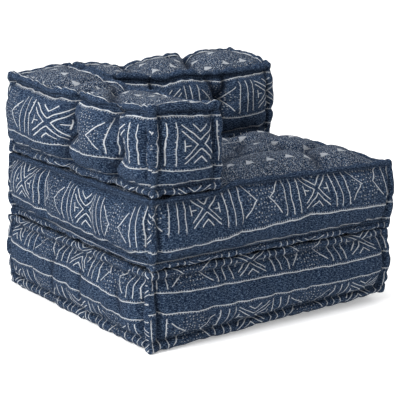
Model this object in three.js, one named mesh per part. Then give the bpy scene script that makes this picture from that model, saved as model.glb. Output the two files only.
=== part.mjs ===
// Corner floor seat of four filled pads with rolled and stitched edges.
// Millimetres, Z up, the front faces -Y. The arm pad lies along the left side, the back pad along the rear.
import * as THREE from 'three';
import { mergeVertices } from 'three/addons/utils/BufferGeometryUtils.js';

// Overall sizes, measured between the corners of the rolled edges
const WIDTH = 820;
const DEPTH = 780;
const SEAM_HEIGHT = 221;
const SEAT_HEIGHT = 412;
const TOP_HEIGHT = 660;
const ARM_THICKNESS = 216;
const BACK_THICKNESS = 222;
const GAP = 0.3;

// The base pad lies a little out of line, and the middle of the whole outline is moved to the origin
const BASE_SLIDE = [-8, 4];
const TO_MIDDLE = [3, -2.5];

// Rolled edge: a stuffed bead along every edge of a pad, held by a row of stitches
const ROLL_RADIUS = 17;
const PRESSED_ROLL_RADIUS = 12.5;
const ROLL_START = Math.PI / 4;
const ROLL_END = (150 * Math.PI) / 180;
const ROLL_ROWS = 3;

// Grid between the two stitch rows of a face
const LONG_ROWS = 18;
const BACK_ROWS = 16;
const SHORT_ROWS = 5;
const HEIGHT_ROWS = 6;
const CROWDING = 0.07;
const RISE_REACH = 95;

const CLOTH = { roughness: 0.95, metalness: 0 };
const INDIGO = 0x3d4f6b;

// Share of a smooth step from 0 to 1 between two limits
function ease(value, from, to) {
  const t = Math.min(1, Math.max(0, (value - from) / (to - from)));
  return t * t * (3 - 2 * t);
}

// How far the bead's surface lies in from the edge, and above or below the face, after a share of its turn
function rollIn(turn, radius) {
  return radius - radius * Math.cos(ROLL_START + turn * (ROLL_END - ROLL_START));
}

function rollOut(turn, radius) {
  return radius * Math.sin(ROLL_START + turn * (ROLL_END - ROLL_START)) - radius;
}

// A filled panel leaves its stitch row steeply and levels out
function rise(distance, reach) {
  const t = Math.min(1, Math.max(0, distance / reach));
  return Math.sqrt(1 - (1 - t) * (1 - t));
}

// One grid line across a face: part of the roll at either end, or a place between the stitch rows
function station(index, count) {
  const left = count - index;
  if (index <= ROLL_ROWS) return { side: -1, turn: index / ROLL_ROWS, end: index === 0 };
  if (left <= ROLL_ROWS) return { side: 1, turn: left / ROLL_ROWS, end: left === 0 };
  const t = (index - ROLL_ROWS) / (count - 2 * ROLL_ROWS);
  return { side: 0, turn: 1, end: false, place: t - CROWDING * Math.sin(2 * Math.PI * t) };
}

function across(line, half, radius) {
  if (line.side !== 0) return line.side * (half - rollIn(line.turn, radius));
  return (half - rollIn(1, radius)) * (2 * line.place - 1);
}

// Height of a face above the plane of its rolls
function faceHeight(lineA, lineB, a, b, halfA, halfB, radius, crown) {
  const turn = Math.min(lineA.turn, lineB.turn);
  if (turn < 1) return rollOut(turn, radius);
  const groove = rollOut(1, radius);
  const innerA = halfA - rollIn(1, radius);
  const innerB = halfB - rollIn(1, radius);
  const riseA = rise(innerA - Math.abs(a), Math.min(RISE_REACH, innerA));
  const riseB = rise(innerB - Math.abs(b), Math.min(RISE_REACH, innerB));
  return groove + (crown - groove) * riseA * riseB;
}

// A pad: a box grid turned into rolls, crowned panels, bowed sides and drawn-in tufts.
// crown, bow, lift: how far the middle of each face stands out, each side leans out at half height,
// and the top rises between its corners
function pad(spec) {
  const { size, rows, lowRoll, highRoll, crown, bow, lift, tufts } = spec;
  const nudge = spec.nudge || ((axis, value) => value);
  const counts = rows.map((n) => n + 2 * ROLL_ROWS);
  let geometry = new THREE.BoxGeometry(2, 2, 2, counts[0], counts[1], counts[2]);
  geometry.deleteAttribute('normal');
  geometry.deleteAttribute('uv');
  geometry = mergeVertices(geometry, 0.001);
  const half = size.map((n) => n / 2);
  const at = geometry.attributes.position;
  const corner = new THREE.Vector3();
  for (let v = 0; v < at.count; v += 1) {
    corner.fromBufferAttribute(at, v);
    const lines = corner.toArray().map((n, axis) => station(Math.round(((n + 1) / 2) * counts[axis]), counts[axis]));
    const level = lines[2].side === 0 ? lines[2].place : (lines[2].side + 1) / 2;
    const radius = lowRoll + (highRoll - lowRoll) * ease(level, 0.15, 0.85);
    const flat = lines.map((line, axis) => nudge(axis, across(line, half[axis], radius)));
    const shaped = flat.map((value, axis) => {
      if (!lines[axis].end) return value;
      const side = lines[axis].side;
      const [m, n] = [0, 1, 2].filter((other) => other !== axis);
      const middle = crown(axis, side, flat);
      const out = faceHeight(lines[m], lines[n], flat[m], flat[n], half[m], half[n], radius, middle);
      return side * (half[axis] + out);
    });
    const u = shaped.map((value, axis) => Math.max(-1, Math.min(1, value / half[axis])));
    const belly = 1 - u[2] * u[2];
    const leanX = bow(0, Math.sign(u[0]), shaped) * belly * u[0];
    const leanY = bow(1, Math.sign(u[1]), shaped) * belly * u[1];
    const raise = lift(shaped) * Math.max(0, u[2]) * (1 - Math.pow(u[0] * u[1], 6));
    const place = new THREE.Vector3(shaped[0] + leanX, shaped[1] + leanY, shaped[2] + raise);
    place.add(new THREE.Vector3(...spec.centre));
    drawIn(place, tufts);
    at.setXYZ(v, place.x + TO_MIDDLE[0], place.y + TO_MIDDLE[1], place.z);
  }
  geometry.computeVertexNormals();
  return geometry;
}

// Stitches through the filling draw the cloth in around each tuft, and along each crease
function drawIn(place, tufts) {
  const pull = new THREE.Vector3();
  for (const tuft of tufts) {
    const x = (place.x - tuft.at[0]) / tuft.reach[0];
    const y = (place.y - tuft.at[1]) / tuft.reach[1];
    const z = (place.z - tuft.at[2]) / tuft.reach[2];
    const share = Math.exp(-(x * x + y * y + z * z));
    pull.add(new THREE.Vector3(...tuft.pull).multiplyScalar(share));
  }
  place.add(pull);
}

function piece(name, geometry) {
  const material = new THREE.MeshStandardMaterial({ color: INDIGO, ...CLOTH });
  material.name = name + '_cloth';
  const mesh = new THREE.Mesh(geometry, material);
  mesh.name = name;
  return mesh;
}

const LEFT = -WIDTH / 2;
const RIGHT = WIDTH / 2;
const FRONT = -DEPTH / 2;
const REAR = DEPTH / 2;
const ARM_INNER = LEFT + ARM_THICKNESS;
const BACK_FRONT = REAR - BACK_THICKNESS;

// Base pad, on the floor
const baseTufts = [
  { at: [LEFT - 14, 20, 110], pull: [16, 0, 0], reach: [60, 26, 60] },
  { at: [LEFT - 14, -170, 110], pull: [9, 0, 0], reach: [60, 26, 60] },
  { at: [LEFT - 14, 210, 110], pull: [9, 0, 0], reach: [60, 26, 60] },
  { at: [RIGHT + 14, -130, 110], pull: [-12, 0, 0], reach: [60, 30, 60] },
  { at: [RIGHT + 14, 130, 110], pull: [-12, 0, 0], reach: [60, 30, 60] },
  { at: [-130, REAR + 14, 110], pull: [0, -12, 0], reach: [30, 60, 60] },
  { at: [130, REAR + 14, 110], pull: [0, -12, 0], reach: [30, 60, 60] },
  { at: [RIGHT, FRONT, 0], pull: [0, 0, 7], reach: [70, 70, 40] },
  { at: [LEFT, REAR, 0], pull: [0, 0, 5], reach: [70, 70, 40] },
];
const base = pad({
  size: [WIDTH, DEPTH, SEAM_HEIGHT - GAP / 2],
  centre: [BASE_SLIDE[0], BASE_SLIDE[1], (SEAM_HEIGHT - GAP / 2) / 2],
  rows: [LONG_ROWS, LONG_ROWS, HEIGHT_ROWS],
  lowRoll: ROLL_RADIUS,
  highRoll: PRESSED_ROLL_RADIUS,
  crown: (axis) => (axis === 2 ? 0 : 10),
  bow: () => 12,
  lift: () => 0,
  tufts: baseTufts,
});

// Seat pad, with a quilted top that stays flat under the arm pad and the back pad.
// One grid line of its top is moved to the foot of each of them, where the top starts to rise
const FOOT_LINE_X = { at: -172, by: -18 };
const FOOT_LINE_Y = { at: 163, by: 1 };
const FOOT_SPREAD = 45;
function toFoot(value, line) {
  const far = (value - line.at) / FOOT_SPREAD;
  return value + line.by * Math.exp(-far * far);
}

const seatTufts = [
  { at: [200, 55, 428], pull: [0, 0, -26], reach: [48, 42, 60] },
  { at: [200, -130, 440], pull: [0, 0, -17], reach: [26, 150, 60] },
  { at: [10, 40, 440], pull: [0, 0, -13], reach: [190, 26, 60] },
  { at: [330, 40, 440], pull: [0, 0, -13], reach: [110, 26, 60] },
  { at: [LEFT - 14, 150, 330], pull: [18, 0, 0], reach: [60, 26, 70] },
  { at: [LEFT - 14, -100, 330], pull: [16, 0, 0], reach: [60, 26, 70] },
  { at: [RIGHT + 14, -130, 316], pull: [-12, 0, 0], reach: [60, 30, 60] },
  { at: [RIGHT + 14, 130, 316], pull: [-12, 0, 0], reach: [60, 30, 60] },
  { at: [-130, REAR + 14, 316], pull: [0, -12, 0], reach: [30, 60, 60] },
  { at: [130, REAR + 14, 316], pull: [0, -12, 0], reach: [30, 60, 60] },
];
const seat = pad({
  size: [WIDTH, DEPTH, SEAT_HEIGHT - SEAM_HEIGHT - GAP],
  centre: [0, 0, (SEAT_HEIGHT + SEAM_HEIGHT) / 2],
  rows: [LONG_ROWS, LONG_ROWS, HEIGHT_ROWS],
  lowRoll: PRESSED_ROLL_RADIUS,
  highRoll: ROLL_RADIUS,
  crown: (axis, side, flat) => {
    if (axis !== 2) return 12;
    if (side < 0) return 0;
    return 33 * ease(flat[0], ARM_INNER + 6, ARM_INNER + 90) * ease(-flat[1], -BACK_FRONT + 5, -BACK_FRONT + 90);
  },
  nudge: (axis, value) => {
    if (axis === 2) return value;
    return toFoot(value, axis === 0 ? FOOT_LINE_X : FOOT_LINE_Y);
  },
  bow: () => 12,
  lift: (shaped) => {
    const alongSide = ease(shaped[1], FRONT, FRONT + 150) * ease(-shaped[1], -BACK_FRONT + 5, -BACK_FRONT + 110);
    return 19 * alongSide * ease(shaped[0], 60, 300);
  },
  tufts: seatTufts,
});

// Arm pad, a bolster along the whole left side. Each belt of stitches runs over its top and down its side
const ARM_MIDDLE = (LEFT + ARM_INNER) / 2;
const armTufts = [
  { at: [LEFT - 20, -215, 514], pull: [36, 0, 0], reach: [70, 40, 34] },
  { at: [LEFT - 20, 30, 522], pull: [36, 0, 0], reach: [70, 40, 34] },
  { at: [LEFT - 16, -180, 580], pull: [17, 0, 0], reach: [70, 22, 60] },
  { at: [LEFT - 16, 50, 590], pull: [17, 0, 0], reach: [70, 22, 60] },
  { at: [LEFT - 16, -165, 440], pull: [12, 0, 0], reach: [70, 24, 40] },
  { at: [LEFT - 16, 80, 440], pull: [12, 0, 0], reach: [70, 24, 40] },
  { at: [ARM_MIDDLE + 12, -85, 684], pull: [0, 0, -34], reach: [52, 42, 60] },
  { at: [ARM_MIDDLE, 125, 684], pull: [0, 0, -26], reach: [52, 38, 60] },
  { at: [ARM_MIDDLE - 40, -125, 684], pull: [0, 0, -12], reach: [120, 24, 60] },
  { at: [ARM_MIDDLE - 20, 115, 684], pull: [0, 0, -12], reach: [120, 24, 60] },
];
const arm = pad({
  size: [ARM_THICKNESS - GAP / 2, DEPTH, TOP_HEIGHT - SEAT_HEIGHT - GAP / 2],
  centre: [ARM_MIDDLE - GAP / 4, 0, (TOP_HEIGHT + SEAT_HEIGHT + GAP / 2) / 2],
  rows: [SHORT_ROWS, LONG_ROWS, HEIGHT_ROWS],
  lowRoll: PRESSED_ROLL_RADIUS,
  highRoll: ROLL_RADIUS,
  crown: (axis, side, flat) => {
    if (axis === 2) return side > 0 ? 14 : 0;
    if (axis === 1) return 12;
    if (side < 0) return 22;
    return 8 * ease(-flat[1], -BACK_FRONT, -BACK_FRONT + 90);
  },
  bow: (axis, side, shaped) => {
    if (axis === 0 && side > 0) return 6 * ease(-shaped[1], -BACK_FRONT, -BACK_FRONT + 90);
    return side < 0 ? 8 : 11;
  },
  lift: () => 6,
  tufts: armTufts,
});

// Back pad, a bolster along the rear, from the arm pad to the right side
const BACK_LENGTH = RIGHT - ARM_INNER - GAP / 2;
const BACK_MIDDLE = (BACK_FRONT + REAR) / 2;
const backTufts = [
  { at: [199, BACK_FRONT - 14, 545], pull: [0, 32, 0], reach: [40, 70, 36] },
  { at: [-60, BACK_FRONT - 14, 545], pull: [0, 26, 0], reach: [40, 70, 36] },
  { at: [199, BACK_MIDDLE, 684], pull: [0, 0, -30], reach: [42, 52, 60] },
  { at: [-60, BACK_MIDDLE, 684], pull: [0, 0, -26], reach: [42, 52, 60] },
  { at: [190, BACK_MIDDLE + 10, 684], pull: [0, 0, -12], reach: [24, 130, 60] },
  { at: [-60, BACK_MIDDLE + 10, 684], pull: [0, 0, -10], reach: [24, 130, 60] },
  { at: [199, REAR + 16, 530], pull: [0, -24, 0], reach: [36, 70, 60] },
  { at: [-60, REAR + 16, 530], pull: [0, -24, 0], reach: [36, 70, 60] },
];
const back = pad({
  size: [BACK_LENGTH, BACK_THICKNESS, TOP_HEIGHT - SEAT_HEIGHT - GAP / 2],
  centre: [RIGHT - BACK_LENGTH / 2, BACK_MIDDLE, (TOP_HEIGHT + SEAT_HEIGHT + GAP / 2) / 2],
  rows: [BACK_ROWS, SHORT_ROWS, HEIGHT_ROWS],
  lowRoll: PRESSED_ROLL_RADIUS,
  highRoll: ROLL_RADIUS,
  crown: (axis, side) => {
    if (axis === 2) return side > 0 ? 14 : 0;
    if (axis === 1) return side < 0 ? 14 : 18;
    return side > 0 ? 12 : 0;
  },
  bow: (axis, side) => (axis === 0 && side < 0 ? 0 : 11),
  lift: (shaped) => 5 + 12 * Math.exp(-Math.pow((shaped[0] - 100) / 130, 2)),
  tufts: backTufts,
});

const seatGroup = new THREE.Group();
seatGroup.name = 'corner_floor_seat';
seatGroup.add(piece('base_pad', base));
seatGroup.add(piece('seat_pad', seat));
seatGroup.add(piece('arm_pad', arm));
seatGroup.add(piece('back_pad', back));

export default seatGroup;
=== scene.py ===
"""Corner floor seat of four filled pads, dressed in printed cloth with rolled and stitched edges."""
import math
from functools import reduce

import bmesh
import bpy
import numpy as np
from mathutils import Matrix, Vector


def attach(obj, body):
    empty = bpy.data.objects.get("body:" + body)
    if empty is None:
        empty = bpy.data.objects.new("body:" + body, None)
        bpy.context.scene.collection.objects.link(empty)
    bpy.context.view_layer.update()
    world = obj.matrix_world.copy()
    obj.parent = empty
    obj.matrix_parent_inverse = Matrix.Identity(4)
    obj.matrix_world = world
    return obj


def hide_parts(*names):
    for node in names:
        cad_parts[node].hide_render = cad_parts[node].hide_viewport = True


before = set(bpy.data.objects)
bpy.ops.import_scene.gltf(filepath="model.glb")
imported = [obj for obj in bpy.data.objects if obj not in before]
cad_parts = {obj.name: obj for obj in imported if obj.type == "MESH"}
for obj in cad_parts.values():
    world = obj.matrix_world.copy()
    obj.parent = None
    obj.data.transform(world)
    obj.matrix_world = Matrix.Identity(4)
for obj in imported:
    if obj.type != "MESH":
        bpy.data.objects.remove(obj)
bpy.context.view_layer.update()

# Sizes in metres, as in the solids
WIDTH, DEPTH = 0.820, 0.780
SEAM_HEIGHT, SEAT_HEIGHT, TOP_HEIGHT = 0.221, 0.412, 0.660
ARM_THICKNESS, BACK_THICKNESS = 0.216, 0.222
GAP = 0.0003
BASE_SLIDE = (-0.008, 0.004)
TO_MIDDLE = np.array([0.003, -0.0025, 0.0])
LEFT, RIGHT, FRONT, REAR = -WIDTH / 2, WIDTH / 2, -DEPTH / 2, DEPTH / 2
ARM_INNER, BACK_FRONT = LEFT + ARM_THICKNESS, REAR - BACK_THICKNESS
ARM_MIDDLE, BACK_MIDDLE = (LEFT + ARM_INNER) / 2, (BACK_FRONT + REAR) / 2
BACK_LENGTH = RIGHT - ARM_INNER - GAP / 2
CLEAR = 0.0004  # room that a cover leaves to the floor and to the pad under or over it
FAR = 9.0  # beyond any piece

# A side is its axis and direction, and a top rim the axis it runs along and the directions of its two sides
LEFT_SIDE, RIGHT_SIDE, FRONT_SIDE, REAR_SIDE, TOP_SIDE = (0, -1), (0, 1), (1, -1), (1, 1), (2, 1)
FRONT_RIM, REAR_RIM, LEFT_RIM, RIGHT_RIM = (0, -1, 1), (0, 1, 1), (1, -1, 1), (1, 1, 1)

# Rolls: their radii, the arc each turns through, its rows of cells, and the shares of a pad's height
# between which its lower rolls turn into its upper ones
FLOOR_ROLL, TOP_ROLL, PRESSED_ROLL, SEAT_ROLL = 0.017, 0.0135, 0.0125, 0.0088
UPRIGHT_FATTER = 0.0040
ROLL_START, ROLL_END = math.radians(45), math.radians(150)
ROLL_ROWS = 5
ROLL_CHANGE = (0.15, 0.85)

# Panels: how far from the stitch rows a side and a top rise, and narrow rows of cells beside the stitches
RISE_REACH = 0.095
BRIM_START, BRIM_REACH = 0.004, 0.080
BESIDE_STITCHES = (0.003, 0.007, 0.012, 0.018)

# Measured rims: the nearest counts most, softened over a distance, and the sides follow it this far down
RIM_EDGE, RIM_SOFTNESS, RIM_DEPTH = 0.012, 0.006, 0.080

# Threads: a tuft that pulls this far is a deep pit, and the cloth is held this near to its lowest point
DEEP_PULL, PIT_HOLD = 0.02, 0.012

# Cloth blown up by the filling, and the furthest that a point of it may move
FILLED_CLOTH = {
    "quality": 5, "mass": 0.3, "tension_stiffness": 20, "compression_stiffness": 12, "shear_stiffness": 6,
    "bending_stiffness": 0.35, "pin_stiffness": 1, "use_pressure": True, "uniform_pressure_force": 4.0,
    "shrink_min": -0.03,
}
SWELL_FRAMES, MOST_SWELL = 20, 0.022

# Gathers: their spacing along a roll, how far each strays from it, the room, depth and width of one that is
# listed, and the lengths of quick and slow ripples
GATHER_EVERY, GATHER_STRAY = 0.062, 0.016
MARK_CLEAR, MARK_DEPTH, MARK_WIDTH = 0.030, 1.3, 0.009
QUICK_WAVES, SLOW_WAVES = ((0.024, 0.03), (0.032, 0.045), (0.05, 0.08)), ((0.11, 0.15), (0.2, 0.3))

# Changes of a roll's radius as shares of it: slow, quick, at a gather, where it is pressed, and at its ends
SLOW_SHARE, QUICK_SHARE, GATHER_SHARE, PRESSED_SHARE = 0.12, 0.07, 0.46, 0.12
KNOB_SHARE, NECK_SHARE = 0.12, 0.08
KNOB_REACH, NECK_PLACE, NECK_REACH, PRESSED_EASE = 0.016, 0.04, 0.012, 0.02

# Stitch rows: how deep one bites, as a share of the roll's radius, the puckers of the panel beside it, and
# how near to a corner the bite starts
BITE_SHARE, BITE_INSIDE, BITE_BEHIND = 0.55, 0.009, 0.007
PUCKER_HEIGHT, PUCKER_GATHER, PUCKER_SPREAD = 0.0044, 0.0060, 1.6
PUCKER_START, PUCKER_REACH, PUCKER_WIDE = 0.004, 0.020, 0.045
CORNER_START, CORNER_REACH = 0.004, 0.030

# Folds: how sharp they are and how much of one stays held. Painted shade: its reach in pits and folds, and
# how much of it a fold's wider sides get
FOLD_SHARPNESS, HELD_WIDTH, HELD_DEPTH, SHADE_GAIN = 1.3, 0.35, 0.6, 1.4
PIT_SHADE, FOLD_SHADE, FOLD_SIDES, FOLD_SIDES_REACH = 0.020, 0.014, 0.80, 1.5

# Uneven cloth: height, size and extra seed of two sets of soft bumps
BUMPS = ((0.0014, 0.070, 0), (0.0008, 0.028, 1))

# The print, in metres of flat cloth: its repeat across, half the height of a row of crosses, the band between
# rows, the share of a top roll's inner half that border cloth covers on the left and front rims and on the
# right and rear ones, the plain cloth over a print, the cloth hidden in a fold and the cut at a seam
REPEAT_ACROSS = 0.376
ROW_HALF, BAND = 0.069, 0.050
BORDER_ENDS = (0.42, 0.85)
PLAIN_START, PLAIN_RATE = -0.112, 0.6
FOLD_SOFTNESS, SEAM_SPLIT = 0.007, 2e-4


def others(axis):
    return [other for other in range(3) if other != axis]


def ease(value, start, stop):
    """Share of a smooth step from 0 to 1 between two limits"""
    t = np.clip((value - start) / (stop - start), 0, 1)
    return t * t * (3 - 2 * t)


def peak(distance, reach):
    """A smooth bump, 1 where the distance is 0"""
    return np.exp(-((distance / reach) ** 2))


def roll_in(turn, radius):
    """How far inwards a roll's surface is at a share of its turn"""
    return radius - radius * np.cos(ROLL_START + turn * (ROLL_END - ROLL_START))


def roll_out(turn, radius):
    """How far outwards a roll's surface is at a share of its turn"""
    return radius * np.sin(ROLL_START + turn * (ROLL_END - ROLL_START)) - radius


def rise(distance, reach):
    """Share of its crown that a panel has at a distance from the stitch row"""
    t = np.clip(distance / reach, 0, 1)
    return np.sqrt(1 - (1 - t) ** 2)


# Shape of a pad


class Pad:
    """A box of cloth cells, and where each of its points lies on the rolls and panels"""

    def __init__(self, spec):
        self.spec = spec
        self.half = np.array(spec["size"]) / 2
        self.places = [self.row_places(axis) for axis in range(3)]
        self.counts = np.array([len(places) - 1 for places in self.places]) + 2 * ROLL_ROWS
        self.mesh = self.box_of_cells()
        self.cube = self.points()
        self.step = np.rint((self.cube + 1) / 2 * self.counts).astype(int)
        left = self.counts - self.step
        self.side = np.where(self.step <= ROLL_ROWS, -1, np.where(left <= ROLL_ROWS, 1, 0))
        from_end = np.where(self.side < 0, self.step, left)
        self.turn = np.where(self.side != 0, from_end / ROLL_ROWS, 1.0)
        self.end = (self.step == 0) | (left == 0)
        between = np.clip(self.step - ROLL_ROWS, 0, self.counts - 2 * ROLL_ROWS)
        self.place = np.stack([self.places[axis][between[:, axis]] for axis in range(3)], axis=1)
        level = np.where(self.side[:, 2] == 0, self.place[:, 2], (self.side[:, 2] + 1) / 2)
        low, high = spec["rolls"]
        fatter = UPRIGHT_FATTER * np.sin(np.pi * level)
        self.radius = low + (high - low) * ease(level, *ROLL_CHANGE) + fatter
        self.inner = self.half - roll_in(1, self.radius)[:, None]
        on_roll = self.side * (self.half - roll_in(self.turn, self.radius[:, None]))
        self.flat = np.where(self.side != 0, on_roll, self.inner * (2 * self.place - 1))
        self.arc = (ROLL_END - ROLL_START) * self.radius
        beyond = self.side * (self.inner + (1 - self.turn) * self.arc[:, None])
        self.unfolded = np.where(self.side != 0, beyond, self.flat)

    def row_places(self, axis):
        """Shares of a panel's width at which its cells meet: narrow beside the stitch rows, even between"""
        low, high = self.spec["rolls"]
        width = 2 * self.half[axis] - roll_in(1, low) - roll_in(1, high)
        close = [step / width for step in BESIDE_STITCHES]
        cells = max(3, round(width * (1 - 2 * close[-1]) / self.spec["cell"]))
        even = np.linspace(close[-1], 1 - close[-1], cells + 1)
        return np.array([0, *close[:-1], *even, *(1 - c for c in reversed(close[:-1])), 1])

    def box_of_cells(self):
        """A cube from -1 to 1 with this pad's count of cells along each axis"""
        bm = bmesh.new()
        bmesh.ops.create_cube(bm, size=2)
        for axis in range(3):
            along = [e for e in bm.edges if abs((e.verts[0].co - e.verts[1].co)[axis]) > 1e-4]
            cuts = int(self.counts[axis]) - 1
            bmesh.ops.subdivide_edges(bm, edges=along, cuts=cuts, use_grid_fill=True)
        bmesh.ops.recalc_face_normals(bm, faces=bm.faces)
        mesh = bpy.data.meshes.new(self.spec["name"])
        bm.to_mesh(mesh)
        bm.free()
        return mesh

    def points(self):
        at = np.empty(len(self.mesh.vertices) * 3)
        self.mesh.vertices.foreach_get("co", at)
        return at.reshape(-1, 3)

    def move_to(self, at):
        self.mesh.vertices.foreach_set("co", np.ascontiguousarray(at, dtype=np.float64).ravel())
        self.mesh.update()

    def normals(self):
        out = np.empty(len(self.mesh.vertices) * 3)
        self.mesh.vertex_normals.foreach_get("vector", out)
        return out.reshape(-1, 3)

    def face_places(self, axis):
        """Where the points of the two faces across one axis stand: rolls, and the panel between them"""
        turn = self.turn[:, others(axis)].min(1)
        groove = roll_out(1, self.radius)
        on_top = (axis == 2) & (self.cube[:, 2] > 0)
        rises = 1.0
        for other in others(axis):
            reach = np.minimum(RISE_REACH, self.inner[:, other])
            depth = self.inner[:, other] - np.abs(self.flat[:, other])
            rises = rises * np.where(on_top, ease(depth, BRIM_START, BRIM_REACH), rise(depth, reach))
        side = np.sign(self.cube[:, axis])
        crown = self.spec["crown"](axis, side, self.flat)
        height = np.where(turn < 1, roll_out(turn, self.radius), groove + (crown - groove) * rises)
        return side * (self.half[axis] + height)

    def filled_shape(self):
        """Rolls on every edge, crowned panels between them, sides that bow out, and drawn-in tufts"""
        spec, shaped = self.spec, self.flat.copy()
        for axis in range(3):
            shaped[:, axis] = np.where(self.end[:, axis], self.face_places(axis), shaped[:, axis])
        u = np.clip(shaped / self.half, -1, 1)
        belly = 1 - u[:, 2] ** 2
        not_corner = 1 - (u[:, 0] * u[:, 1]) ** 6
        out = shaped.copy()
        for axis in (0, 1):
            out[:, axis] += spec["bow"](axis, np.sign(u[:, axis]), shaped) * belly * u[:, axis]
        out[:, 2] += spec["lift"](shaped) * np.maximum(0, u[:, 2]) * not_corner
        out += np.array(spec["centre"])
        out[:, 2] += self.rim_shift(out)
        for pit in spec["tufts"] + spec["settled"]:
            far = (out - np.array(pit["at"])) / np.array(pit["reach"])
            out = out + np.array(pit["pull"]) * np.exp(-(far**2).sum(1))[:, None]
        return out + TO_MIDDLE

    def rim_shift(self, out):
        """How far the top is raised or lowered, from the heights of its rims, nearer rims counting more"""
        top = self.spec["centre"][2] + self.half[2]
        total, weights = np.zeros(len(out)), np.full(len(out), 1e-9)
        for (axis, side), stations in self.spec["rims"].items():
            runs, heights = zip(*stations)
            far = np.maximum(0, self.half[axis] - side * self.flat[:, axis] - RIM_EDGE)
            weight = 1 / (far + RIM_SOFTNESS) ** 2
            total += weight * (np.interp(out[:, 1 - axis], runs, heights) - top)
            weights += weight
        return total / weights * peak(np.maximum(0, top - out[:, 2]), RIM_DEPTH)

    def on_face(self, axis, side):
        """Points of one face, with the roll rows that belong to it"""
        return self.end[:, axis] & (np.sign(self.cube[:, axis]) == side)

    def panel(self, axis, side):
        """Points of one face between its rolls, with the stitch rows"""
        return self.on_face(axis, side) & (self.side[:, others(axis)] == 0).all(1)


def swell(pad, free):
    """Cloth pressed out by the filling between the stitch rows and tufts, which hold it"""
    before = pad.points()
    mesh = pad.mesh.copy()
    puffed = bpy.data.objects.new(pad.spec["name"] + "_filling", mesh)
    bpy.context.scene.collection.objects.link(puffed)
    held = puffed.vertex_groups.new(name="stitched")
    held.add([int(i) for i in np.nonzero(~free)[0]], 1.0, "REPLACE")
    cloth = puffed.modifiers.new("Cloth", "CLOTH")
    for name, value in FILLED_CLOTH.items():
        setattr(cloth.settings, name, value)
    cloth.settings.vertex_group_mass = held.name
    cloth.settings.effector_weights.gravity = 0
    cloth.collision_settings.use_collision = False
    cloth.point_cache.frame_start, cloth.point_cache.frame_end = 1, SWELL_FRAMES
    scene = bpy.context.scene
    for number in range(1, SWELL_FRAMES + 1):
        scene.frame_set(number)
    shown = puffed.evaluated_get(bpy.context.evaluated_depsgraph_get())
    after = np.empty(len(mesh.vertices) * 3)
    shown.data.vertices.foreach_get("co", after)
    move = after.reshape(-1, 3) - before
    scene.frame_set(1)
    bpy.data.objects.remove(puffed)
    bpy.data.meshes.remove(mesh)
    move[~np.isfinite(move).all(1)] = 0
    length = np.linalg.norm(move, axis=1)
    print(pad.spec["name"], "moved mean %.4f most %.4f" % (length[free].mean(), length.max()))
    move *= (np.minimum(length, MOST_SWELL) / np.maximum(length, 1e-9))[:, None]
    move[~free] = 0
    return before + move


# Gathers along the rolls, puckers beside the stitch rows, creases between the tufts


class Gathers:
    """Where the thread draws a roll in, along its length, and the ripples between"""

    def __init__(self, seed, length, marks=None):
        rng = np.random.default_rng(seed)
        count = max(1, round(length / GATHER_EVERY))
        places = (np.arange(count) + 0.5) / count * length - length / 2
        self.marks = places + rng.uniform(-GATHER_STRAY, GATHER_STRAY, count)
        self.depth = rng.uniform(0.3, 1.0, count)
        self.width = rng.uniform(0.0055, 0.0095, count)
        if marks:
            clear = np.abs(self.marks[:, None] - np.array(marks)).min(1) > MARK_CLEAR
            self.marks = np.concatenate([self.marks[clear], marks])
            self.depth = np.concatenate([self.depth[clear], np.full(len(marks), MARK_DEPTH)])
            self.width = np.concatenate([self.width[clear], np.full(len(marks), MARK_WIDTH)])
        self.quick, self.slow = (
            [(2 * np.pi / rng.uniform(short, long), rng.uniform(0, 6.28)) for short, long in lengths]
            for lengths in (QUICK_WAVES, SLOW_WAVES)
        )

    def pinch(self, run, spread=1.0):
        out = np.zeros_like(run)
        for mark, depth, width in zip(self.marks, self.depth, self.width):
            out += depth * peak(run - mark, width * spread)
        return out

    def ripple(self, run):
        return sum(np.sin(k * run + phase) for k, phase in self.quick) / len(self.quick)

    def drift(self, run):
        return sum(np.sin(k * run + phase) for k, phase in self.slow) / len(self.slow)


def gathers_of(pad, edge):
    """The gathers of one roll, the same in each run of the script"""
    along, side_a, side_b = edge
    seed = pad.spec["seed"] * 100 + along * 10 + side_a + 1 + (side_b + 1) // 2
    return Gathers(seed, 2 * pad.half[along], pad.spec["marks"].get(edge))


def fatness(pad, edge, gathers):
    """Share of its radius by which a roll is fatter along its length"""
    run = pad.unfolded[:, edge[0]]
    share = SLOW_SHARE * gathers.drift(run) + QUICK_SHARE * gathers.ripple(run)
    share = share - GATHER_SHARE * gathers.pinch(run)
    for start, stop in pad.spec["pressed"].get(edge, []):
        after = ease(run, start - PRESSED_EASE, start + PRESSED_EASE)
        share = share - PRESSED_SHARE * after * ease(-run, -stop - PRESSED_EASE, -stop + PRESSED_EASE)
    near_end = pad.half[edge[0]] - np.abs(pad.flat[:, edge[0]])
    knob, neck = peak(near_end, KNOB_REACH), peak(near_end - NECK_PLACE, NECK_REACH)
    return share + KNOB_SHARE * knob - NECK_SHARE * neck


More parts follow.
